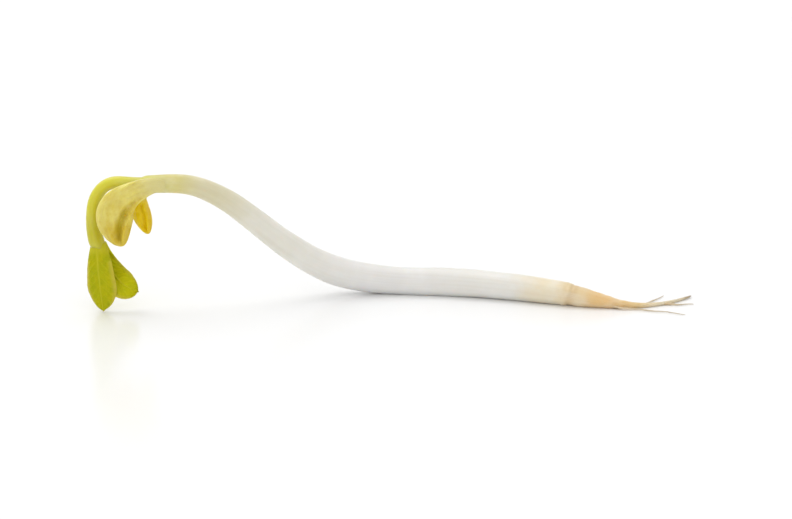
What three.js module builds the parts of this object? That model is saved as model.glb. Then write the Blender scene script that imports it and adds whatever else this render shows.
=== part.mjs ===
// A mung bean sprout, lying as it comes to rest on a table: a plump white stem with a bowed
// middle, a tapering root, and an arched neck from which two seed leaves and two young leaves
// hang. Millimetres, +Z up. The sprout runs along X, root to +X and head to -X, and the table
// is z = 0, with the origin under the middle of the sprout.

import * as THREE from 'three';

// Driving dimensions: thicknesses are across, and half widths run from base to tip.
const STEM_THICK = 3.53;
const NECK_THICK = 2.25;
const STEM_FOOT_THICK = 2.95;
const COLLAR_THICK = 2.72;
const EPICOTYL_THICK = 1.5;
const ROOT_TIP_THICK = 0.26;
const ROOTLET_THICK = 0.28;
const BUD_THICK = 0.42;
const YOUNG_LEAF_HALVES = [0.75, 1.02, 1.33, 1.55, 1.68, 1.64, 1.28, 0.15];
const YOUNG_LEAF_THICK = 0.34;
const YOUNG_LEAF_CUP = 0.5; // how far a blade's edges stand off its midrib at its widest
const SEED_LEAF_THICK = 1.4;
const JOIN_GAP = 0.06; // clear space between two organs that grow from one another

// Lengths along the centre line, from the root tip.
const ROOT_LENGTH = 16.6;
const STEM_LENGTH = 58.2;

// Points that steer the one centre line of root, stem and epicotyl, from root tip to leaf base.
const LEAF_BASE = [-35.8, -3.2, 7.95];
const AXIS_POINTS = [
  [37.1, 2.3, 0.16],
  [34.8, -0.1, 0.19],
  [32, -1.9, 0.24],
  [28.8, -2.6, 0.32],
  [25.2, -2.1, 0.76],
  [21.2, -0.7, 1.36],
  [15.8, 1.2, 1.56],
  [8.3, 3.5, 1.62],
  [0.3, 4.5, 1.5],
  [-7.7, 3.8, 2.5],
  [-14.2, 2.1, 7.2],
  [-19.6, 0.1, 12.7],
  [-24.9, -1.7, 15.9],
  [-30.3, -2.95, 15.3],
  [-34, -3.15, 16.45],
  [-36.1, -3.2, 14.3],
  [-36.4, -3.2, 11.7],
  [-36.35, -3.2, 9.7],
  LEAF_BASE,
];

// Side roots, each from just clear of the main root out over the table.
const ROOTLET_POINTS = [
  [[26.2, -3.25, 0.25], [27.6, -3.5, 0.18], [30, -3.7, 0.16], [32.6, -4.4, 0.14], [35.2, -5.5, 0.1]],
  [[29.3, -1.7, 0.2], [30.5, -1.2, 0.16], [31.8, -0.2, 0.14], [32.6, 1.3, 0.12], [33.7, 2.6, 0.1]],
  [[33.85, -1.24, 0.16], [34.8, -1.4, 0.14], [35.8, -1.1, 0.12], [36.9, -1.2, 0.1]],
];

// Seed leaves, from where stem and epicotyl meet. bend is how far the edges stand towards +Y.
const SEED_LEAVES = [
  {
    name: 'cotyledon_front',
    colour: '#cdb64e',
    bend: -0.45,
    halves: [0.85, 1.1, 1.42, 1.85, 2.2, 2.2, 1.75, 0.4],
    points: [
      [1.5, -1.66, 0.05],
      [0.3, -1.8, -0.2],
      [-0.8, -1.9, -0.6],
      [-1.85, -1.98, -1.2],
      [-2.65, -2.05, -1.95],
      [-3.15, -2.1, -3],
      [-3.2, -2.1, -4.2],
      [-2.95, -2, -5.5],
      [-2.45, -1.85, -7.15],
    ],
  },
  {
    name: 'cotyledon_back',
    colour: '#cb9f14',
    bend: 0.35,
    halves: [0.55, 0.7, 0.9, 1.1, 1.15, 0.9, 0.3],
    points: [
      [0.4, 1.9, -0.6],
      [-0.4, 1.95, -1.5],
      [-0.75, 1.9, -2.6],
      [-0.65, 1.8, -3.9],
      [-0.25, 1.65, -5.1],
      [0.3, 1.45, -6.4],
    ],
  },
];

// Young leaves, from the leaf base. turn swings the blade about its own length, in radians, and
// cup is the way its edges stand: 1 towards +Y and -1 towards -Y.
const YOUNG_LEAVES = [
  {
    name: 'primary_leaf_front',
    colour: '#a9ab06',
    turn: -0.12,
    cup: 1,
    points: [
      [0, -0.62, -0.45],
      [0, -0.75, -1.2],
      [0, -0.95, -2.5],
      [0.2, -1.15, -4.2],
      [0.3, -1.2, -5.9],
      [0.45, -1.2, -7.8],
    ],
  },
  {
    name: 'primary_leaf_back',
    colour: '#b8b20a',
    turn: 0.12,
    cup: -1,
    points: [
      [0.25, 0.62, -0.4],
      [0.45, 0.75, -1],
      [0.75, 0.85, -2],
      [1.3, 0.8, -3.2],
      [2.15, 0.7, -4.4],
      [3.3, 0.55, -5.25],
      [4.6, 0.45, -5.75],
    ],
  },
];

// Bud between the bases of the young leaves, from the leaf base.
const BUD_POINTS = [[0.17, 0, -0.35], [0.4, 0, -0.85], [0.7, 0, -1.5]];

const SIDE_AXIS = new THREE.Vector3(0, 1, 0);

/** Uniform cubic B-spline that starts at the first point and ends at the last. */
class OrganPath extends THREE.Curve {
  constructor(points) {
    super();
    const list = points.map((point) => new THREE.Vector3(...point));
    const last = list.length - 1;
    const before = list[0].clone().multiplyScalar(2).sub(list[1]);
    const after = list[last].clone().multiplyScalar(2).sub(list[last - 1]);
    this.points = [before, ...list, after];
    this.arcLengthDivisions = 40 * list.length;
  }

  getPoint(t, target = new THREE.Vector3()) {
    const spans = this.points.length - 3;
    const span = Math.min(Math.floor(t * spans), spans - 1);
    const f = t * spans - span;
    const weights = [
      (1 - f) ** 3,
      3 * f ** 3 - 6 * f ** 2 + 4,
      -3 * f ** 3 + 3 * f ** 2 + 3 * f + 1,
      f ** 3,
    ];
    target.set(0, 0, 0);
    weights.forEach((weight, i) => target.addScaledVector(this.points[span + i], weight / 6));
    return target;
  }
}

/** Value at t, from 0 to 1, of a smooth curve through evenly spaced values. */
function profile(values, t) {
  const place = t * (values.length - 1);
  const i = Math.min(Math.floor(place), values.length - 2);
  const f = place - i;
  const here = values[i];
  const next = values[i + 1];
  const slopeHere = (next - values[Math.max(i - 1, 0)]) / 2;
  const slopeNext = (values[Math.min(i + 2, values.length - 1)] - here) / 2;
  const square = 3 * (next - here) - 2 * slopeHere - slopeNext;
  const cube = 2 * (here - next) + slopeHere + slopeNext;
  return here + f * (slopeHere + f * (square + f * cube));
}

/** Mean of the corners of one ring, three numbers a corner. */
function ringMiddle(positions, ring, sides) {
  const middle = [0, 0, 0];
  for (let corner = ring * sides; corner < (ring + 1) * sides; corner += 1) {
    for (let k = 0; k < 3; k += 1) {
      middle[k] += positions[3 * corner + k] / sides;
    }
  }
  return middle;
}

/**
 * Closed body whose section is carried along a path. section(t, angle) gives a corner's
 * offsets in millimetres: across, near the Y axis, and out, square to that and to the path.
 * start and end are the share of the path that the body covers, and turn swings the section.
 * Nothing goes below the table.
 */
function carry(path, rings, sides, section, { start = 0, end = 1, turn = 0 } = {}) {
  const positions = [];
  for (let ring = 0; ring < rings; ring += 1) {
    const t = ring / (rings - 1);
    const place = start + (end - start) * t;
    const centre = path.getPointAt(place);
    const along = path.getTangentAt(place);
    const across = SIDE_AXIS.clone().addScaledVector(along, -SIDE_AXIS.dot(along)).normalize();
    across.applyAxisAngle(along, turn);
    const out = new THREE.Vector3().crossVectors(across, along);
    for (let side = 0; side < sides; side += 1) {
      const [a, o] = section(t, (2 * Math.PI * side) / sides);
      const corner = centre.clone().addScaledVector(across, a).addScaledVector(out, o);
      positions.push(corner.x, corner.y, Math.max(corner.z, 0));
    }
  }
  const firstMiddle = rings * sides;
  const lastMiddle = firstMiddle + 1;
  const lastRing = (rings - 1) * sides;
  positions.push(...ringMiddle(positions, 0, sides));
  positions.push(...ringMiddle(positions, rings - 1, sides));
  const index = [];
  for (let side = 0; side < sides; side += 1) {
    const next = (side + 1) % sides;
    for (let row = 0; row < lastRing; row += sides) {
      index.push(row + side, row + sides + side, row + next);
      index.push(row + next, row + sides + side, row + sides + next);
    }
    index.push(firstMiddle, side, next, lastMiddle, lastRing + next, lastRing + side);
  }
  const geometry = new THREE.BufferGeometry();
  geometry.setAttribute('position', new THREE.Float32BufferAttribute(positions, 3));
  geometry.setIndex(index);
  geometry.computeVertexNormals();
  return geometry;
}

/** Round section whose thickness changes along the organ. */
function round(thicknesses) {
  return (t, angle) => {
    const radius = profile(thicknesses, t) / 2;
    return [radius * Math.cos(angle), radius * Math.sin(angle)];
  };
}

function organ(name, geometry, colour, roughness) {
  const material = new THREE.MeshStandardMaterial({ color: colour, roughness, metalness: 0 });
  const mesh = new THREE.Mesh(geometry, material);
  mesh.name = name;
  return mesh;
}

const axis = new OrganPath(AXIS_POINTS);
const axisLength = axis.getLength();
const stemEnd = ROOT_LENGTH + STEM_LENGTH;
const nodePoint = axis.getPointAt(stemEnd / axisLength).toArray();

/** Round organ between two distances along the centre line. */
function alongAxis(rings, sides, thicknesses, first, last) {
  const reach = { start: first / axisLength, end: last / axisLength };
  return carry(axis, rings, sides, round(thicknesses), reach);
}

/** Main root: a thin tail on the table that thickens in a short cone to the collar. */
function taproot() {
  const thick = [ROOT_TIP_THICK, 0.4, 0.54, 0.92, 1.86, COLLAR_THICK];
  const shape = alongAxis(30, 12, thick, 0, ROOT_LENGTH - JOIN_GAP);
  return organ('taproot', shape, '#dcbb86', 0.6);
}

/** Stem from the collar to the seed leaves. */
function hypocotyl() {
  const thick = [STEM_FOOT_THICK, 3.43, STEM_THICK, 3.5, 3.43, 3.27, 3.0, 2.62, NECK_THICK];
  return organ('hypocotyl', alongAxis(60, 20, thick, ROOT_LENGTH, stemEnd), '#e6e3d8', 0.35);
}

/** Green stalk from the seed leaves, over the hook and down to the young leaves. */
function epicotyl() {
  const thick = [1.82, 1.55, EPICOTYL_THICK, 1.58, 1.74, 2.02];
  const shape = alongAxis(30, 14, thick, stemEnd + JOIN_GAP, axisLength);
  return organ('epicotyl', shape, '#c6bb42', 0.4);
}

/** Side root: a thread that thins towards its tip. */
function rootlet(points, number) {
  const thick = [ROOTLET_THICK, 0.24, 0.18, 0.12];
  const shape = carry(new OrganPath(points), 13, 6, round(thick));
  return organ(`rootlet_${number + 1}`, shape, '#cfa972', 0.6);
}

/** Path of an organ whose points are given from its own base. */
function pathFrom(base, offsets) {
  return new OrganPath(offsets.map((offset) => offset.map((value, i) => base[i] + value)));
}

/** Seed leaf: a shrivelled spoon, thick along its middle and bent across its width. */
function seedLeaf({ name, colour, bend, halves, points }) {
  const widest = Math.max(...halves);
  const section = (t, angle) => {
    const share = profile(halves, t) / widest;
    const across = share * Math.cos(angle);
    const thick = (SEED_LEAF_THICK / 2) * Math.sqrt(share) * Math.sin(angle);
    return [bend * across ** 2 + thick, -widest * across];
  };
  return organ(name, carry(pathFrom(nodePoint, points), 18, 16, section), colour, 0.5);
}

/** Young leaf: a blade that widens from a thicker base to a blunt tip, cupped across its width. */
function youngLeaf({ name, colour, turn, cup, points }) {
  const widest = Math.max(...YOUNG_LEAF_HALVES);
  const section = (t, angle) => {
    const across = profile(YOUNG_LEAF_HALVES, t) * Math.cos(angle);
    const stalk = 0.2 * (1 - THREE.MathUtils.smoothstep(t, 0, 0.3));
    const thick = (YOUNG_LEAF_THICK / 2 + stalk) * Math.sin(angle);
    return [cup * YOUNG_LEAF_CUP * (across / widest) ** 2 + thick, -across];
  };
  const shape = carry(pathFrom(LEAF_BASE, points), 20, 12, section, { turn });
  return organ(name, shape, colour, 0.45);
}

/** Bud between the bases of the two young leaves. */
function terminalBud() {
  const thick = [0.34, BUD_THICK, 0.3, 0.1];
  const shape = carry(pathFrom(LEAF_BASE, BUD_POINTS), 8, 8, round(thick));
  return organ('terminal_bud', shape, '#b9b53c', 0.5);
}

const sprout = new THREE.Group();
sprout.add(taproot(), ...ROOTLET_POINTS.map(rootlet));
sprout.add(hypocotyl(), epicotyl());
sprout.add(...SEED_LEAVES.map(seedLeaf), ...YOUNG_LEAVES.map(youngLeaf), terminalBud());

export default sprout;
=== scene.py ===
"""A mung bean sprout lying on a pale floor: a white stem, a tan root with side roots, and a
yellow-green hook that carries two seed leaves, two young leaves and a bud.

Shapes are worked out in millimetres and put into the meshes in metres. X runs from the hook to
the root tip, Y away from the camera and Z up. Every organ is one closed skin: a grid whose rows
run along the organ and whose columns run once round it.
"""
import math

import bpy
import numpy as np
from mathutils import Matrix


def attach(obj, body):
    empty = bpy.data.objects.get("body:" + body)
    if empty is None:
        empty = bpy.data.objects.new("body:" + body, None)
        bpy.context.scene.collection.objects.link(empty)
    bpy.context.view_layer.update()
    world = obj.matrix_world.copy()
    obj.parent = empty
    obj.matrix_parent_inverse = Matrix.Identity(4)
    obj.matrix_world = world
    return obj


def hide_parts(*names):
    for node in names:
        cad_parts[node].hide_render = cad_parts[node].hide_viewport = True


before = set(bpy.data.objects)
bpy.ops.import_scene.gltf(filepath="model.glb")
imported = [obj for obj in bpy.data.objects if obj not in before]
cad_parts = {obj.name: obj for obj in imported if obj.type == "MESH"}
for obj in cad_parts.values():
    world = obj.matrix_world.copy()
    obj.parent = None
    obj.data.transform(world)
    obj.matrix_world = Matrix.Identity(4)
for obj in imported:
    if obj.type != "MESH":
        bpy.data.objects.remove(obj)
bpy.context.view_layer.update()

MM = 0.001
TURN = 2 * math.pi
Y_AXIS = np.array([0.0, 1.0, 0.0])

# Lengths along the centre line in millimetres. The seed leaves grow from the node.
ROOT_LENGTH = 16.6
STEM_LENGTH = 58.2
NODE_AT = ROOT_LENGTH + STEM_LENGTH

# Points that steer the centre line of root, stem and epicotyl, from root tip to leaf base.
LEAF_BASE = (-35.8, -3.2, 7.95)
AXIS_POINTS = [
    (37.1, 2.3, 0.16), (34.8, -0.1, 0.19), (32, -1.9, 0.24), (28.8, -2.6, 0.32),
    (25.2, -2.1, 0.76), (21.2, -0.7, 1.36), (15.8, 1.2, 1.56), (8.3, 3.5, 1.62),
    (0.3, 4.5, 1.5), (-7.7, 3.8, 2.5), (-14.2, 2.1, 7.2), (-19.6, 0.1, 12.7),
    (-24.9, -1.7, 15.9), (-30.3, -2.95, 15.3), (-34.0, -3.15, 16.45), (-36.1, -3.2, 14.3),
    (-36.4, -3.2, 11.7), (-36.35, -3.2, 9.7), LEAF_BASE,
]

# Thickness at stations along the same line: (distance from the root tip, thickness).
ROOT_THICK = [(0, 0.22), (2, 0.34), (5, 0.46), (7.5, 0.58), (9.5, 0.8), (11.2, 1.2), (13, 1.78),
              (14.8, 2.32), (16.6, 2.72), (18, 2.75)]
STEM_THICK = [(16, 2.86), (19, 3.16), (23, 3.42), (32, 3.54), (40, 3.5), (48, 3.4), (55, 3.22),
              (62, 2.95), (68, 2.6), (72, 2.36), (76, 2.2)]
STALK_THICK = [(73, 1.9), (74.8, 1.82), (76.5, 1.58), (79, 1.5), (83, 1.6), (85.4, 1.76),
               (87, 2.02), (89, 2.02)]


# ---------------------------------------------------------------- curves

# Places worked out between one steering point of a curve and the next.
PLACES_A_SPAN = 300


def spline(points):
    """Uniform cubic B-spline with its end points mirrored outwards, so that it starts and ends
    on them: each place is the cubic basis weights times four neighbouring points, over 6.
    Returns closely spaced places and the distance of each along the curve."""
    p = np.asarray(points, float)
    p = np.vstack([2 * p[0] - p[1], p, 2 * p[-1] - p[-2]])
    spans = len(p) - 3
    t = np.linspace(0, spans, PLACES_A_SPAN * spans + 1)
    i = np.minimum(t.astype(int), spans - 1)
    f = (t - i)[:, None]
    places = ((1 - f) ** 3 * p[i] + (3 * f**3 - 6 * f**2 + 4) * p[i + 1]
              + (-3 * f**3 + 3 * f**2 + 3 * f + 1) * p[i + 2] + f**3 * p[i + 3]) / 6
    steps = np.linalg.norm(np.diff(places, axis=0), axis=1)
    return places, np.concatenate([[0.0], np.cumsum(steps)])


def along(curve, distances):
    """Places at the given distances along a curve, linear between its close samples and straight
    on past its end, with two directions square to it: across, near the Y axis, and out."""
    places, length = curve
    at = np.stack([np.interp(distances, length, places[:, k]) for k in range(3)], axis=1)
    slope = np.stack([np.interp(distances, length, np.gradient(places[:, k], length))
                      for k in range(3)], axis=1)
    ahead = slope / np.linalg.norm(slope, axis=1, keepdims=True)
    at = at + ahead * np.maximum(distances - length[-1], 0)[:, None]
    across = Y_AXIS - ahead * (ahead @ Y_AXIS)[:, None]
    across /= np.linalg.norm(across, axis=1, keepdims=True)
    return at, across, np.cross(across, ahead)


def carry(curve, distances, side, rise, turn=0.0):
    """Grid of points: place along the curve, plus side times across, plus rise times out, both
    turned about the curve by turn. side and rise have a row a distance and a column an angle."""
    at, across, out = along(curve, distances)
    c, s = np.cos(turn), np.sin(turn)
    across, out = across * c - out * s, across * s + out * c
    return at[:, None] + across[:, None] * side[..., None] + out[:, None] * rise[..., None]


def stations(curve, rows):
    """Even distances from a curve's start to its end, one a row, and each as a share of the
    whole length."""
    s = np.linspace(0, curve[1][-1], rows)[:, None]
    return s, s / s[-1]


def around(cols):
    """Even angles once round, one a column."""
    return TURN * np.arange(cols)[None] / cols


# ---------------------------------------------------------------- shaping functions

DOME_LEAST = 0.0006
RIPPLE_WAVES = 24
# Samples that a blend is worked out on, and how many of them its bell curve reaches each way.
BLEND_SAMPLES = 3000
BLEND_REACH = 150
# Widths of the bell curves that blend the thickness of the axis, in millimetres, and the width
# of a leaf, as a share of its length.
THICKNESS_BLEND = 0.7
WIDTH_BLEND = 0.05


def ease(a, b, x):
    """Smooth step from a to b: 0 on a's side, 1 on b's side, and 3t^2 - 2t^3 between."""
    t = np.clip((x - a) / (b - a), 0, 1)
    return t * t * (3 - 2 * t)


def bump(x, middle, width):
    """Bell curve of height 1: e to the minus square of the distance from middle over width."""
    return np.exp(-(((x - middle) / width) ** 2))


def dome(s, closed, full):
    """Share of the radius near a rounded end: 0 at closed, 1 from full on, and a quarter
    ellipse between. full may lie on either side of closed. Its square never falls under
    DOME_LEAST, so that the end ring keeps a size."""
    x = np.clip((s - closed) / (full - closed), 0, 1)
    return np.sqrt(np.maximum(1 - (1 - x) ** 2, DOME_LEAST))


def blend_stations(pairs, x, smooth):
    """Values at stations, straight between them, then averaged under the middle of a bell curve
    whose width is smooth."""
    at, value = np.array(pairs, float).T
    close = np.linspace(at[0] - 3 * smooth, at[-1] + 3 * smooth, BLEND_SAMPLES)
    offsets = np.arange(-BLEND_REACH, BLEND_REACH + 1) * (close[1] - close[0])
    kernel = bump(offsets, 0, smooth)
    held = np.pad(np.interp(close, at, value), BLEND_REACH, mode="edge")
    return np.interp(x, close, np.convolve(held, kernel / kernel.sum(), mode="valid"))


def half_width(halves, t):
    """Half widths spaced evenly from a leaf's base to its tip, blended at the shares t."""
    return blend_stations(list(zip(np.linspace(0, 1, len(halves)), halves)), t, WIDTH_BLEND)


def ripple(x, y, z, seed, between):
    """Sum of sine waves of seeded random direction, phase and length, the length between the two
    given, and each as high as the root of its length. The sum is over the root of all lengths
    together: a smooth, natural unevenness that stays near -1 to 1."""
    finest, coarsest = between
    rng = np.random.default_rng(seed)
    way = rng.normal(size=(RIPPLE_WAVES, 3))
    way /= np.linalg.norm(way, axis=1, keepdims=True)
    length = np.exp(rng.uniform(np.log(finest), np.log(coarsest), RIPPLE_WAVES))
    phase = rng.uniform(0, TURN, RIPPLE_WAVES)
    total = sum(np.sqrt(span) * np.sin(TURN / span * (w[0] * x + w[1] * y + w[2] * z) + p)
                for w, span, p in zip(way, length, phase))
    return total / np.sqrt(length.sum())


# ---------------------------------------------------------------- skins

def grain_at(x, y, z):
    """The skin's own coordinates, as one vector a point."""
    return np.stack(np.broadcast_arrays(x, y, z), -1)


def skin(name, grid, **fields):
    """Closed mesh from a grid of points in millimetres: quads between neighbouring rows and
    columns, the last column joined to the first, and a fan to the middle of each end ring.
    fields are values a point, kept as attributes that the finishes read."""
    rows, cols = grid.shape[:2]
    ends = [grid[0].mean(axis=0), grid[-1].mean(axis=0)]
    points = np.vstack([grid.reshape(-1, 3), ends]) * MM
    row = np.arange(rows - 1)[:, None] * cols
    col = np.arange(cols)[None]
    after = (col + 1) % cols
    quads = np.stack([row + col, row + cols + col, row + cols + after, row + after], -1)
    last = (rows - 1) * cols
    first_fan = np.stack([0 * col + rows * cols, col, after], -1)
    last_fan = np.stack([0 * col + rows * cols + 1, last + after, last + col], -1)
    faces = quads.reshape(-1, 4).tolist() + first_fan[0].tolist() + last_fan[0].tolist()
    mesh = bpy.data.meshes.new(name)
    mesh.from_pydata(points, [], faces)
    mesh.polygons.foreach_set("use_smooth", np.ones(len(faces), bool))
    for key, values in fields.items():
        values = np.broadcast_to(values, (rows, cols, *np.shape(values)[2:]))
        tails = values.reshape(rows, cols, -1)[[0, -1]].mean(axis=1)
        flat = np.vstack([values.reshape(rows * cols, -1), tails]).astype(np.float32)
        vector = flat.shape[1] == 3
        layer = mesh.attributes.new(key, "FLOAT_VECTOR" if vector else "FLOAT", "POINT")
        layer.data.foreach_set("vector" if vector else "value", flat.ravel())
    mesh.update()
    piece = bpy.data.objects.new(name, mesh)
    bpy.context.scene.collection.objects.link(piece)
    return piece


def finish_piece(piece, node, material):
    """Puts a finish on a piece, hangs it under the root body and hides the CAD node that it stands
    for.
    """
    piece.data.materials.append(material)
    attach(piece, "root")
    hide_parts(node)


# ---------------------------------------------------------------- finishes

# The skins keep these values for the finishes:
#   grain   a place on the organ, about in millimetres
#   reach   share of the way from root tip to leaf base
#   joint   about 1 where organs join and at the root tip, and 0 elsewhere
#   collar  1 at the root collar, and 0 elsewhere
#   groove  how deep a place lies in a seed leaf's groove, and so how dark its painted shade is
#   tone    how deep a seed leaf's colour is, besides its patches
#   vein    1 on a young leaf's midrib, and less on its side veins
#   edge    how near a place is to a young leaf's margin, where a rim of light is painted
#   base    1 where a leaf starts, falling to 0

def rgb(code):
    """Linear colour of a web colour, by the standard screen curve: value / 12.92 at the dark
    end, and ((value + 0.055) / 1.055) to the power 2.4 above it."""
    value = np.array([int(code[i:i + 2], 16) for i in (1, 3, 5)]) / 255
    linear = np.where(value <= 0.04045, value / 12.92, ((value + 0.055) / 1.055) ** 2.4)
    return (*(float(v) for v in linear), 1.0)


class Finish:
    """A material's node tree, built by short calls that each return an output socket."""

    def __init__(self, name):
        self.material = bpy.data.materials.new(name)
        self.material.use_nodes = True
        self.tree = self.material.node_tree
        self.shader = next(n for n in self.tree.nodes if n.type == "BSDF_PRINCIPLED")

    def feed(self, made, inputs):
        """Gives a node its inputs: each a socket's name or number, with a value or a socket."""
        for key, value in inputs.items():
            if isinstance(value, bpy.types.NodeSocket):
                self.tree.links.new(value, made.inputs[key])
            else:
                made.inputs[key].default_value = value

    def node(self, kind, inputs, output=0, **settings):
        """Adds one node with its settings and inputs."""
        made = self.tree.nodes.new("ShaderNode" + kind)
        for key, value in settings.items():
            setattr(made, key, value)
        self.feed(made, inputs)
        return made.outputs[output]

    def field(self, name, output="Fac"):
        """A value or vector that the skin keeps at each point."""
        return self.node("Attribute", {}, output, attribute_name=name)

    def scaled(self, place, by):
        """A place with each of its coordinates multiplied."""
        return self.node("Mapping", {0: place, 3: by})

    def noise(self, place, scale, detail=4.0, rough=0.55, twist=0.0):
        """Fractal noise from 0 to 1, of about scale waves a millimetre."""
        return self.node("TexNoise", {"Vector": place, "Scale": scale, "Detail": detail,
                                      "Roughness": rough, "Distortion": twist})

    def cells(self, place, scale):
        """Distance from the borders of a random net of cells."""
        return self.node("TexVoronoi", {"Vector": place, "Scale": scale}, "Distance",
                         feature="DISTANCE_TO_EDGE")

    def spread(self, value, between, onto=(0.0, 1.0)):
        """Value between two numbers eased onto two others, and held beyond them."""
        return self.node("MapRange", {0: value, 1: between[0], 2: between[1], 3: onto[0], 4: onto[1]},
                         interpolation_type="SMOOTHSTEP")

    def ramp(self, value, stops):
        """Colour from a list of (place, colour) stops, eased between them."""
        made = self.tree.nodes.new("ShaderNodeValToRGB")
        made.color_ramp.interpolation = "EASE"
        bar = made.color_ramp.elements
        for place, _ in stops[2:]:
            bar.new(place)
        for element, (place, colour) in zip(bar, stops):
            element.position = place
            element.color = rgb(colour)
        self.tree.links.new(value, made.inputs[0])
        return made.outputs[0]

    def mix(self, share, a, b, how="MIX"):
        """Two colours mixed by share. A colour is a web code or a socket."""
        a, b = (rgb(c) if isinstance(c, str) else c for c in (a, b))
        return self.node("Mix", {0: share, 6: a, 7: b}, 2, data_type="RGBA", blend_type=how)

    def plus(self, a, b):
        """a plus b, for each a socket or a number."""
        return self.node("Math", {0: a, 1: b})

    def product(self, a, b):
        """a times b, for each a socket or a number."""
        return self.node("Math", {0: a, 1: b}, operation="MULTIPLY")

    def sum(self, *terms):
        """Sum of socket times number, for each (socket, number)."""
        total = self.product(*terms[0])
        for term in terms[1:]:
            total = self.plus(total, self.product(*term))
        return total

    def done(self, colour, rough, height, depth, flesh, reach, gloss=0.5, coat=0.0, coat_rough=0.2):
        """Joins the shader up. depth is the relief in millimetres that height 1 stands for,
        flesh the share of light that enters the tissue, and reach how far it goes there."""
        relief = self.node("Bump", {"Height": height, "Distance": depth * MM})
        self.feed(self.shader, {"Base Color": colour, "Roughness": rough, "Normal": relief,
                                "Subsurface Weight": flesh, "Subsurface Radius": reach,
                                "Subsurface Scale": MM, "IOR": TISSUE_IOR,
                                "Specular IOR Level": gloss, "Coat Weight": coat,
                                "Coat Roughness": coat_rough})
        return self.material


TISSUE_IOR = 1.38
# How far light goes in the tissue, in millimetres, for red, green and blue.
STEM_REACH = (1.8, 1.55, 1.25)
SEED_LEAF_REACH = (0.8, 0.75, 0.2)
YOUNG_LEAF_REACH = (0.25, 0.3, 0.05)

# Colours of root, stem and epicotyl: (share of the way from root tip to leaf base, web colour).
AXIS_COLOURS = [
    (0.02, "#9C8A6F"), (0.045, "#BCAE93"), (0.085, "#CEBEA1"), (0.13, "#D8BA89"),
    (0.17, "#DBBA84"), (0.205, "#DCC69C"), (0.25, "#DED3B9"), (0.31, "#DDDBD5"),
    (0.50, "#DCDBD9"), (0.68, "#D9D7CD"), (0.785, "#CFC9AA"), (0.845, "#CEC574"),
    (0.88, "#CECA52"), (0.92, "#CCC83A"), (0.965, "#CAC53A"), (1.0, "#BFB926"),
]
LEAF_BASE_GREEN = AXIS_COLOURS[-1][1]
FIBRE_CREAM = "#D6CEB4"
CLOUD_WHITE = "#EAEAE8"
SPECK_BROWN = "#A87C48"
COLLAR_TAN = "#BC9560"
VEIN_YELLOW = "#C2BC30"
# Colour of the painted rim of light along a young leaf's margin.
RIM_LIGHT_YELLOW = "#C4B740"


def axis_finish(name):
    """Root, stem and epicotyl share one finish, so that no seam shows. Colour follows the share
    of the way from the root tip, moved a little by a slow cloud. Cream fibres that run
    lengthways darken it, pale clouds lighten it, brown specks show where the root is dry, and
    tan streaks in its collar. Relief is the sum of fibres, streaks and specks, more where the
    root is dry, and the tissue lets less light in where organs join."""
    f = Finish(name)
    place = f.field("grain", "Vector")
    share = f.field("reach")
    cloud = f.noise(place, 0.3, detail=3.0)
    colour = f.ramp(f.plus(share, f.product(cloud, 0.04)), AXIS_COLOURS)
    fibres = f.noise(f.scaled(place, (2.4, 2.4, 0.05)), 1.5, twist=0.15)
    fine = f.noise(f.scaled(place, (9.0, 9.0, 0.3)), 1.0, detail=3.0, rough=0.5)
    specks = f.noise(place, 2.4, detail=6.0, rough=0.7)
    dry = f.spread(share, (0.22, 0.09))
    colour = f.mix(f.spread(fibres, (0.4, 0.68), (0.0, 0.1)), colour, FIBRE_CREAM, "MULTIPLY")
    pale = f.product(f.spread(cloud, (0.4, 0.75), (0.0, 0.3)),
                     f.spread(share, (0.8, 0.9), (1.0, 0.2)))
    colour = f.mix(pale, colour, CLOUD_WHITE)
    speckled = f.product(dry, f.spread(specks, (0.5, 0.75), (0.0, 0.45)))
    colour = f.mix(speckled, colour, SPECK_BROWN)
    ringed = f.product(f.field("collar"), f.spread(fine, (0.3, 0.7), (0.12, 0.38)))
    colour = f.mix(ringed, colour, COLLAR_TAN)
    withered = f.product(dry, f.sum((fine, 0.5), (specks, 0.8)))
    height = f.sum((fibres, 0.3), (fine, 0.15), (specks, 0.12), (withered, 1.5))
    rough = f.plus(f.sum((f.spread(cloud, (0.3, 0.7)), 0.1), (dry, 0.2), (fine, 0.08)), 0.27)
    flesh = f.spread(f.field("joint"), (0.0, 1.0), (0.7, 0.05))
    return f.done(colour, rough, height, depth=0.022, flesh=flesh, reach=STEM_REACH,
                  coat=0.1, coat_rough=0.22)


def seed_leaf_finish(name, pale, deep, crease, base):
    """Soft wrinkled tissue. Colour runs from pale to deep by patches and by tone, goes to crease
    along the wrinkles and, as painted shade, in the groove, and to base, near the stem's own
    colour, where the leaf grows out of it. Relief is the sum of wrinkles and patches."""
    f = Finish(name)
    place = f.field("grain", "Vector")
    patches = f.noise(place, 0.5, rough=0.6)
    wrinkles = f.noise(f.scaled(place, (2.0, 2.0, 0.7)), 1.6, detail=6.0, rough=0.62, twist=0.5)
    colour = f.mix(f.sum((f.spread(patches, (0.35, 0.68)), 0.5), (f.field("tone"), 0.6)), pale, deep)
    colour = f.mix(f.spread(wrinkles, (0.55, 0.72), (0.0, 0.25)), colour, crease)
    # Painted shade: the groove darkens towards crease by how deep it lies.
    colour = f.mix(f.spread(f.field("groove"), (0.05, 0.8), (0.0, 0.7)), colour, crease)
    colour = f.mix(f.field("base"), colour, base)
    height = f.sum((wrinkles, 0.8), (patches, 0.2))
    rough = f.spread(wrinkles, (0.3, 0.7), (0.34, 0.5))
    flesh = f.spread(f.field("base"), (0.0, 1.0), (0.55, 0.4))
    return f.done(colour, rough, height, depth=0.07, flesh=flesh, reach=SEED_LEAF_REACH,
                  gloss=0.35, coat=0.05, coat_rough=0.3)


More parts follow.
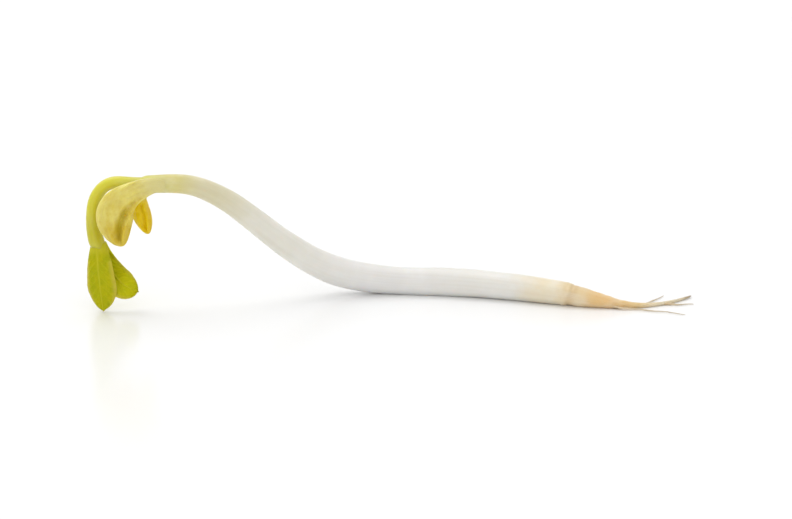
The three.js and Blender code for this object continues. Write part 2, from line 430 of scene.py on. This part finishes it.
def young_leaf_finish(name, green, light):
    """Leaf blade: green to light by patches, with a faint yellow net of small veins, yellow
    ribs, a yellow rim along the margin that is painted light shining through the curled edge,
    and the stalk's colour where it grows out of it. Relief is pores and patches, sunk along the
    net."""
    f = Finish(name)
    place = f.field("grain", "Vector")
    patches = f.noise(place, 0.8)
    net = f.spread(f.cells(place, 3.4), (0.0, 0.12), (1.0, 0.0))
    pores = f.noise(place, 12.0, detail=2.0, rough=0.5)
    colour = f.mix(f.spread(patches, (0.35, 0.7)), green, light)
    colour = f.mix(f.product(net, 0.1), colour, VEIN_YELLOW)
    colour = f.mix(f.spread(f.field("vein"), (0.15, 0.95), (0.0, 0.5)), colour, VEIN_YELLOW)
    # Painted light: a yellow rim along the margin, as light shining through the curled edge.
    colour = f.mix(f.spread(f.field("edge"), (0.66, 0.97), (0.0, 0.9)), colour, RIM_LIGHT_YELLOW)
    colour = f.mix(f.field("base"), colour, LEAF_BASE_GREEN)
    height = f.sum((pores, 0.3), (net, -0.3), (patches, 0.5))
    rough = f.spread(patches, (0.3, 0.7), (0.4, 0.55))
    return f.done(colour, rough, height, depth=0.025, flesh=0.3, reach=YOUNG_LEAF_REACH, gloss=0.15)


# ---------------------------------------------------------------- root, stem and epicotyl

axis = spline(AXIS_POINTS)
AXIS_LENGTH = float(axis[1][-1])
node_point = along(axis, np.array([NODE_AT]))[0][0]

# Radius of the round rod that relief and finish are worked out on, in millimetres, how far rows
# crowd towards both ends, the angles of the stalk's furrows, and how far past the leaf base the
# stalk runs, inside the young leaves.
GRAIN_RADIUS = 1.6
ROW_CROWDING = 0.06
FURROWS_AT = (0.35 * math.pi, 1.25 * math.pi)
STALK_PAST_BASE = 0.55


def axis_relief(s, angle, x, y, z):
    """Share by which the radius swells: slow unevenness, ribs and finer strands that run
    lengthways, lumps where the root is dry, two bell-shaped furrows where the stalk is green,
    and creases round the collar. All but the furrows are ripples times a height."""
    dryness = ease(19.0, 9.0, s)
    greenness = ease(71.0, 80.0, s)
    near_collar = bump(s, ROOT_LENGTH + 0.6, 1.5)
    uneven = 0.03 * ripple(x, y, z, seed=3, between=(3.0, 16.0))
    ribs = 0.012 * ripple(1.3 * x, 1.3 * y, 0.12 * z, seed=5, between=(2.6, 7.0))
    strands = ripple(6 * x, 6 * y, 0.35 * z, seed=6, between=(2.2, 7.0))
    lumps = dryness * (0.05 * ripple(x, y, 1.4 * z, seed=8, between=(0.9, 4.0)) + 0.035 * strands)
    furrows = -0.06 * greenness * sum(bump(angle, at, 0.3) for at in FURROWS_AT)
    creases = 0.03 * near_collar * ripple(0.25 * x, 0.25 * y, 2.2 * z, seed=11, between=(0.8, 2.4))
    return uneven + ribs + (0.003 + 0.008 * greenness) * strands + lumps + furrows + creases


def axis_organ(name, thick, ends, full, rows, cols):
    """One organ of the axis, between two distances from the root tip. The section is a near
    circle: radius = half the station thickness, times 1 plus the relief, wider or higher by a
    slow sine wave of the distance, and flat where it meets the floor. Both ends are domed, with
    a wavering edge, and the ends of neighbours lie one inside the other, so that they join in a
    soft shoulder."""
    close = np.linspace(0, 1, rows)
    crowded = close - ROW_CROWDING * np.sin(TURN * close)
    s = (ends[0] + (ends[1] - ends[0]) * crowded)[:, None]
    angle = around(cols)
    x, y, z = GRAIN_RADIUS * np.cos(angle), GRAIN_RADIUS * np.sin(angle), s + 0 * angle
    radius = blend_stations(thick, s, THICKNESS_BLEND) / 2 * (1 + axis_relief(s, angle, x, y, z))
    waver = 0.3 * ripple(x, y, 0 * z, seed=21, between=(2.0, 5.0))
    radius = radius * dome(s + waver, ends[0], full[0]) * dome(s + waver, ends[1], full[1])
    oval = 1 + 0.05 * np.sin(0.11 * s)
    grid = carry(axis, s[:, 0], radius * np.cos(angle) * oval, radius * np.sin(angle) / oval)
    grid[..., 2] = np.maximum(grid[..., 2], 0)
    near_collar = bump(z, ROOT_LENGTH, 1.8)
    near_node = bump(z, NODE_AT, np.where(z < NODE_AT, 3.4, 1.4))
    near_root_tip = ease(3.0, 0.0, z)
    return skin(name, grid, grain=grain_at(x, y, z), reach=z / AXIS_LENGTH,
                joint=near_collar + near_node + near_root_tip,
                collar=bump(z + waver, ROOT_LENGTH + 0.1, 0.5))


def make_axis():
    """Root, stem and epicotyl, each with the distances where it ends and where it is full."""
    last = AXIS_LENGTH + STALK_PAST_BASE
    root = axis_organ("root", ROOT_THICK, ends=(0.0, 18.0), full=(0.4, 17.0), rows=460, cols=64)
    stem = axis_organ("stem", STEM_THICK, ends=(15.8, 75.6), full=(17.8, 74.1), rows=900, cols=96)
    stalk = axis_organ("stalk", STALK_THICK, ends=(73.9, last), full=(74.6, last - 1.5),
                       rows=320, cols=72)
    finish_piece(root, "taproot", axis_finish("root_skin"))
    finish_piece(stem, "hypocotyl", axis_finish("stem_skin"))
    finish_piece(stalk, "epicotyl", axis_finish("stalk_skin"))


ROOTLET_POINTS = [
    [(25.2, -2.3, 0.7), (27.4, -3.3, 0.24), (30.0, -3.6, 0.16), (32.6, -4.4, 0.14), (35.2, -5.5, 0.1)],
    [(28.6, -2.4, 0.34), (30.4, -1.6, 0.2), (31.8, -0.3, 0.14), (32.6, 1.3, 0.12), (33.7, 2.6, 0.1)],
    [(33.2, -1.2, 0.22), (34.6, -1.4, 0.14), (35.8, -1.1, 0.12), (36.9, -1.2, 0.1)],
]
ROOTLET_RADIUS = 0.14
ROOTLET_TAPER = 0.1


def make_rootlets():
    """Side roots: threads whose radius falls evenly to the tip, with a ripple, and whose line
    swings to and fro by a sine wave of the distance along it. They have the colours of the
    root's tail."""
    finish = axis_finish("rootlet_skin")
    for number, points in enumerate(ROOTLET_POINTS):
        curve = spline(points)
        s, t = stations(curve, rows=220)
        angle = around(cols=20)
        x, y, z = np.cos(angle), np.sin(angle), s + 0 * angle
        uneven = 1 + 0.12 * ripple(x, y, 2 * z, seed=30 + number, between=(0.8, 4.0))
        radius = (ROOTLET_RADIUS - ROOTLET_TAPER * t) * uneven * dome(t, 1.0, 0.97)
        grid = carry(curve, s[:, 0], radius * x, radius * y)
        grid[..., 1] += 0.14 * np.sin(1.7 * s + number) * ease(0, 1.5, s)
        grid[..., 2] = np.maximum(grid[..., 2], 0)
        piece = skin(f"rootlet_{number + 1}_thread", grid, grain=grain_at(x, y, z),
                     reach=0.1 - 0.06 * t, joint=1.0, collar=0.0)
        finish_piece(piece, f"rootlet_{number + 1}", finish)


# ---------------------------------------------------------------- leaves and bud

# Depth of a groove, in millimetres, at which its painted shade shows in full.
FULL_GROOVE = 0.7


def seed_leaf(name, offsets, halves, thick, bend, groove_across, groove_start, groove_deep, seed):
    """Shrivelled spoon. Across the width, v from -1 to 1, each face rises as the root of
    1 - v^2 to the power 0.75, and the whole bends by v^2. The outer face sinks in a groove and
    swells in a roll on each side of it, all bell curves of v, and ripples add lengthways creases
    and fine wrinkles. groove_start gives the shares of the length between which the groove
    deepens, and groove_across where it runs, as v, at its start and its end."""
    curve = spline(np.add(node_point, offsets))
    s, t = stations(curve, rows=320)
    angle = around(cols=180)
    v, face = np.cos(angle), np.sin(angle)
    tip = dome(t, 1.0, 0.6)
    half = half_width(halves, t) * tip
    share = half / max(halves)
    side = half * v
    body = 0.5 * thick * share ** 0.6 * np.sign(face) * np.abs(face) ** 0.75
    run = ease(0.0, 0.5, -face) * ease(*groove_start, t) * ease(1.0, 0.88, t)
    groove_at = np.interp(t, (0.63, 0.94), groove_across) + 0.04 * np.sin(9 * t)
    groove = bump(v, groove_at, 0.2) * run
    broad_roll = bump(v, groove_at - 0.55, 0.32) * run
    slim_roll = 0.8 * bump(v, groove_at + 0.42, 0.22) * run
    crease = 0.13 * ripple(1.9 * side, 1.3 * face, 0.4 * s, seed, between=(1.0, 3.4))
    wrinkle = 0.03 * ripple(side, 1.2 * face, 0.8 * s, seed + 1, between=(0.3, 0.9))
    rise = body + bend * v**2 * share * ease(0.1, 0.5, t)
    rise = rise + groove_deep * groove - 0.28 * thick * (broad_roll + slim_roll)
    rise = rise + (crease * (1 - 0.8 * groove) + wrinkle) * ease(0.1, 0.35, t) * tip
    grid = carry(curve, s[:, 0], rise, -side)
    one_edge = 0.55 * ease(-1.0, -0.3, v)
    other_edge = 0.6 * ease(0.2, 0.9, v) * ease(0.3, 0.6, t)
    return skin(name, grid, grain=grain_at(side, 1.5 * face, s),
                groove=groove * groove_deep / FULL_GROOVE,
                tone=one_edge + other_edge + 0.6 * ease(0.6, 1.0, t),
                base=ease(0.44, 0.12, t))


def make_seed_leaves():
    """The pale seed leaf on the near side and the smaller golden one on the far side."""
    near = seed_leaf("seed_leaf_near",
                     offsets=[(3.3, -0.25, -0.02), (2.2, -0.52, 0.0), (1.1, -0.84, 0.0),
                              (0.1, -1.2, -0.22), (-0.9, -1.6, -0.63), (-1.85, -1.9, -1.2),
                              (-2.65, -2.05, -1.95), (-3.15, -2.1, -3.0), (-3.2, -2.1, -4.2),
                              (-2.95, -2.0, -5.5), (-2.45, -1.85, -7.2)],
                     halves=[0.45, 0.8, 1.05, 1.25, 1.6, 2.08, 2.3, 2.3, 2.05, 1.7],
                     thick=1.5, bend=-0.45, groove_across=(0.5, -0.1), groove_start=(0.53, 0.64),
                     groove_deep=0.5, seed=41)
    far = seed_leaf("seed_leaf_far",
                    offsets=[(0.6, 0.3, -0.2), (-0.4, 0.9, -1.3), (-0.8, 1.4, -2.5),
                             (-0.65, 1.6, -3.9), (-0.25, 1.6, -5.1), (0.3, 1.4, -6.5)],
                    halves=[0.5, 0.65, 0.85, 1.05, 1.15, 1.1, 0.95],
                    thick=1.3, bend=0.35, groove_across=(0.3, -0.1), groove_start=(0.3, 0.5),
                    groove_deep=0.12, seed=57)
    finish_piece(near, "cotyledon_front",
                 seed_leaf_finish("seed_leaf_pale", "#E6DE86", "#CBB33A", "#C2AE10", "#D3C98A"))
    finish_piece(far, "cotyledon_back",
                 seed_leaf_finish("seed_leaf_gold", "#EAD202", "#D8B800", "#C09A04", "#CABB60"))


# Gap between one side vein of a young leaf and the next, as a share of the leaf's length.
VEIN_STEP = 0.12


def young_leaf(name, offsets, halves, turn, cup, seed):
    """Leaf blade that grows straight out of the stalk. Across the width, v from -1 to 1, it cups
    by v^2 and curls a little more at its edges. Side veins run where t - 0.24 |v|^1.2 is a
    multiple of VEIN_STEP, and both faces sink along them and swell between them. It is thickest
    at its base and along its midrib, and its tip is half an ellipse with a short point."""
    curve = spline(np.add(LEAF_BASE, offsets))
    s, t = stations(curve, rows=300)
    angle = around(cols=180)
    v, face = np.cos(angle), np.sin(angle)
    from_midrib = np.abs(v)
    rounded = dome(t, 0.985, 0.64)
    pointed = dome(t, 1.0, 0.9)
    half = half_width(halves, t) * rounded + 0.1 * pointed
    side = half * v
    blade = ease(0.08, 0.3, t)
    phase = (t - 0.24 * from_midrib ** 1.2) / VEIN_STEP
    vein_gap = VEIN_STEP * curve[1][-1]
    off_vein = np.abs(phase - np.round(phase)) * vein_gap
    between_ribs = ease(0.02, 0.2, from_midrib) * ease(1.0, 0.7, from_midrib) * blade
    side_vein = bump(off_vein, 0, 0.08) * between_ribs
    midrib = bump(side, 0, 0.15 * (1.25 - t)) * ease(1.0, 0.9, t)
    thick = (0.14 + 0.32 * (1 - blade) + 0.08 * midrib) * pointed
    fold = cup * v**2 * (0.55 + 0.45 * half / 1.8)
    curl = 0.16 * math.copysign(1, cup) * ease(0.7, 1.0, from_midrib) * blade
    pucker = 0.05 * blade * bump(off_vein, vein_gap / 2, 0.3) * ease(0.05, 0.4, from_midrib)
    wave = 0.16 * ripple(side, 0 * s, s, seed, between=(2.4, 7.0)) * ease(0.2, 0.6, t)
    rise = fold + curl + wave + pucker - 0.03 * side_vein
    rise = rise + thick * np.sign(face) * np.abs(face) ** 0.6
    grid = carry(curve, s[:, 0], rise, -side, turn)
    grid[..., 2] = np.maximum(grid[..., 2], 0.01)
    return skin(name, grid, grain=grain_at(side, 2 * face, s),
                vein=np.maximum(0.6 * side_vein, midrib),
                edge=np.maximum(from_midrib, ease(0.9, 1.0, t)) * blade,
                base=ease(0.2, 0.08, t))


def make_young_leaves():
    """The pair of young green leaves: the near one hangs down, and the far one bends to +X."""
    near = young_leaf("leaf_near",
                      offsets=[(0.0, -0.2, 0.5), (0.0, -0.6, -1.0), (0.0, -0.95, -2.5),
                               (0.2, -1.15, -4.2), (0.3, -1.2, -5.9), (0.45, -1.2, -7.85)],
                      halves=[0.85, 1.1, 1.35, 1.52, 1.62, 1.68, 1.64, 1.5, 1.3],
                      turn=0.12, cup=0.5, seed=71)
    far = young_leaf("leaf_far",
                     offsets=[(0.15, 0.25, 0.4), (0.4, 0.5, -0.7), (0.75, 0.7, -1.9),
                              (1.3, 0.75, -3.2), (2.15, 0.65, -4.4), (3.3, 0.5, -5.25),
                              (4.65, 0.4, -5.75)],
                     halves=[0.7, 0.85, 1.1, 1.32, 1.5, 1.65, 1.75, 1.75, 1.6],
                     turn=-0.12, cup=-0.45, seed=83)
    finish_piece(near, "primary_leaf_front",
                 young_leaf_finish("leaf_green", "#A7A902", "#B6B004"))
    # The far leaf's colours are the near leaf's made lighter: painted light that offsets the shade it
    # sits in.
    finish_piece(far, "primary_leaf_back",
                 young_leaf_finish("leaf_green_painted_lighter", "#BABA02", "#C6C002"))


BUD_OFFSETS = [(0.1, 0, 0.0), (0.35, 0, -0.8), (0.7, 0, -1.5)]
BUD_RADIUS = 0.24


def make_bud():
    """Bud: a pointed drop with three soft ridges that twist along it. Its radius falls as the
    root of 1 - t^2.2."""
    curve = spline(np.add(LEAF_BASE, BUD_OFFSETS))
    s, t = stations(curve, rows=90)
    angle = around(cols=48)
    ridges = 1 + 0.12 * np.cos(3 * angle + 2 * t)
    radius = BUD_RADIUS * ridges * np.sqrt(np.maximum(1 - t**2.2, 0.002))
    grid = carry(curve, s[:, 0], radius * np.cos(angle), radius * np.sin(angle))
    piece = skin("bud_scales", grid, grain=grain_at(np.cos(angle), np.sin(angle), s),
                 groove=0.0, tone=0.0, base=0.0)
    finish_piece(piece, "terminal_bud",
                 seed_leaf_finish("bud_green", "#C9C65E", "#B5B53A", "#8F8A12", "#C9C65E"))


# ---------------------------------------------------------------- floor, light and camera

FLOOR_HALF = 1.5


def make_floor():
    """Pale floor: one square face, a little glossy."""
    h = FLOOR_HALF
    mesh = bpy.data.meshes.new("floor")
    mesh.from_pydata([(-h, -h, 0), (h, -h, 0), (h, h, 0), (-h, h, 0)], [], [(0, 1, 2, 3)])
    floor = bpy.data.objects.new("floor", mesh)
    bpy.context.scene.collection.objects.link(floor)
    white = Finish("floor_white")
    white.feed(white.shader, {"Base Color": (0.9, 0.9, 0.9, 1), "Roughness": 0.22, "IOR": 1.45})
    mesh.materials.append(white.material)


# Name, strength, angle that the lamp fills, azimuth from +X and height, all angles in degrees.
LAMPS = [("key", 0.95, 50, 140, 58), ("fill", 0.4, 70, -75, 18)]
# The surround's strength near the horizon and overhead, and the heights that it fades between.
SURROUND_LOW, SURROUND_HIGH = 1.02, 0.88
FADE_FROM, FADE_TO = 0.05, 0.4


def make_light():
    """Soft studio: a white surround, a little brighter at the horizon than overhead, a broad
    lamp high on the left behind the sprout, and a weak one in front."""
    world = bpy.data.worlds.new("soft_studio")
    world.use_nodes = True
    back = next(n for n in world.node_tree.nodes if n.type == "BACKGROUND")
    way = world.node_tree.nodes.new("ShaderNodeTexCoord")
    up = world.node_tree.nodes.new("ShaderNodeSeparateXYZ")
    fade = world.node_tree.nodes.new("ShaderNodeMapRange")
    for key, value in zip((1, 2, 3, 4), (FADE_FROM, FADE_TO, SURROUND_LOW, SURROUND_HIGH)):
        fade.inputs[key].default_value = value
    join = world.node_tree.links.new
    join(way.outputs["Generated"], up.inputs[0])
    join(up.outputs["Z"], fade.inputs[0])
    join(fade.outputs[0], back.inputs["Strength"])
    back.inputs["Color"].default_value = (1, 1, 1, 1)
    bpy.context.scene.world = world
    for name, power, spread, azimuth, height in LAMPS:
        lamp = bpy.data.lights.new(name, "SUN")
        lamp.energy = power
        lamp.angle = math.radians(spread)
        holder = bpy.data.objects.new(name, lamp)
        holder.rotation_euler = (math.radians(90 - height), 0, math.radians(azimuth) + math.pi / 2)
        bpy.context.scene.collection.objects.link(holder)


# Lens and sensor in millimetres, and the camera's other lengths in metres.
CAMERA_LIFT = math.radians(15)
CAMERA_AWAY = 0.23
CAMERA_AIM = np.array([0.0002, 0.0, 0.0055])
LENS_LENGTH = 85
SENSOR_WIDTH = 36
CLIP_NEAR = 0.005


def make_camera():
    """Camera in front of the sprout, CAMERA_AWAY from its aim and tilted down by its lift."""
    lens = bpy.data.cameras.new("camera")
    lens.lens = LENS_LENGTH
    lens.sensor_width = SENSOR_WIDTH
    lens.clip_start = CLIP_NEAR
    camera = bpy.data.objects.new("camera", lens)
    away = CAMERA_AWAY * np.array([0, -math.cos(CAMERA_LIFT), math.sin(CAMERA_LIFT)])
    camera.location = CAMERA_AIM + away
    camera.rotation_euler = (math.pi / 2 - CAMERA_LIFT, 0, 0)
    bpy.context.scene.collection.objects.link(camera)
    bpy.context.scene.camera = camera
    bpy.context.scene.view_settings.view_transform = "Standard"


make_camera()
make_light()
make_floor()
make_axis()
make_rootlets()
make_seed_leaves()
make_young_leaves()
make_bud()
